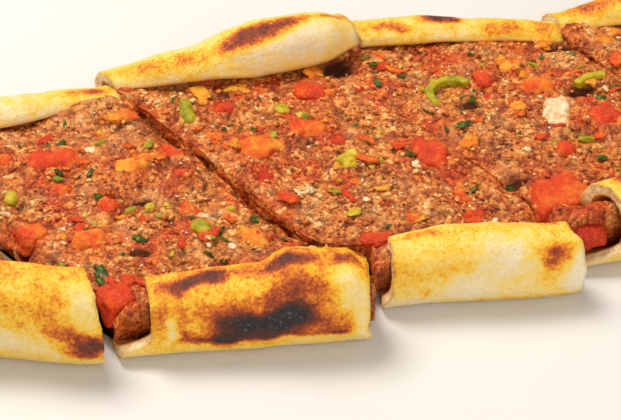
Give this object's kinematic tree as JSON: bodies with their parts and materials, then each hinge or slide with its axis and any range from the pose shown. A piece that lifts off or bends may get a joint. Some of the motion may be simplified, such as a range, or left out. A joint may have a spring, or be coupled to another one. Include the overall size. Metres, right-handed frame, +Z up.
{
  "type": "minced meat pide",
  "caption": "Boat-shaped flatbread with folded browned rims, filled with minced meat, tomato and green pepper, cut across into slices that lie together.",
  "frame": {"origin": "middle of the footprint, on the surface that the bread rests on", "axes": "+X along the boat to its right tip, +Y across it to the back rim, +Z up out of the filling"},
  "size_m": [0.4012, 0.1042, 0.022],
  "materials": {
    "bread": "baked dough, cream to golden yellow with brown and charred spots, slightly glossy with butter",
    "meat": "baked minced meat, reddish brown crumbs, glossy with fat",
    "tomato": "baked tomato, red to orange, wet",
    "pepper": "baked green pepper, yellow green, wet",
    "onion": "soft baked onion, pale, wet"
  },
  "bodies": {
    "root": {"slice_1_bread": "bread", "slice_1_meat": "meat", "slice_1_pepper_1": "pepper", "slice_1_tomato_1": "tomato", "slice_1_tomato_2": "tomato", "slice_2_bread": "bread", "slice_2_meat": "meat", "slice_2_pepper_1": "pepper", "slice_2_tomato_1": "tomato", "slice_2_tomato_2": "tomato", "slice_2_tomato_3": "tomato", "slice_2_tomato_4": "tomato", "slice_3_bread": "bread", "slice_3_meat": "meat", "slice_3_pepper_1": "pepper", "slice_3_pepper_2": "pepper", "slice_3_tomato_1": "tomato", "slice_3_tomato_2": "tomato", "slice_3_tomato_3": "tomato", "slice_3_tomato_4": "tomato", "slice_3_tomato_5": "tomato", "slice_3_tomato_6": "tomato", "slice_3_tomato_7": "tomato", "slice_3_tomato_8": "tomato", "slice_4_bread": "bread", "slice_4_meat": "meat", "slice_4_pepper_1": "pepper", "slice_4_pepper_2": "pepper", "slice_4_tomato_1": "tomato", "slice_4_tomato_2": "tomato", "slice_4_tomato_3": "tomato", "slice_4_tomato_4": "tomato", "slice_4_tomato_5": "tomato", "slice_4_tomato_6": "tomato", "slice_4_tomato_7": "tomato", "slice_5_bread": "bread", "slice_5_meat": "meat", "slice_5_onion_1": "onion", "slice_5_pepper_1": "pepper", "slice_5_pepper_2": "pepper", "slice_5_tomato_1": "tomato", "slice_5_tomato_2": "tomato", "slice_5_tomato_3": "tomato", "slice_5_tomato_4": "tomato", "slice_5_tomato_5": "tomato", "slice_5_tomato_6": "tomato", "slice_5_tomato_7": "tomato", "slice_5_tomato_8": "tomato", "slice_6_bread": "bread", "slice_6_meat": "meat", "slice_6_pepper_1": "pepper", "slice_6_tomato_1": "tomato", "slice_6_tomato_2": "tomato", "slice_6_tomato_3": "tomato", "slice_6_tomato_4": "tomato", "slice_7_bread": "bread", "slice_7_meat": "meat", "slice_7_pepper_1": "pepper", "slice_7_tomato_1": "tomato", "slice_7_tomato_2": "tomato"}
  },
  "joints": []
}
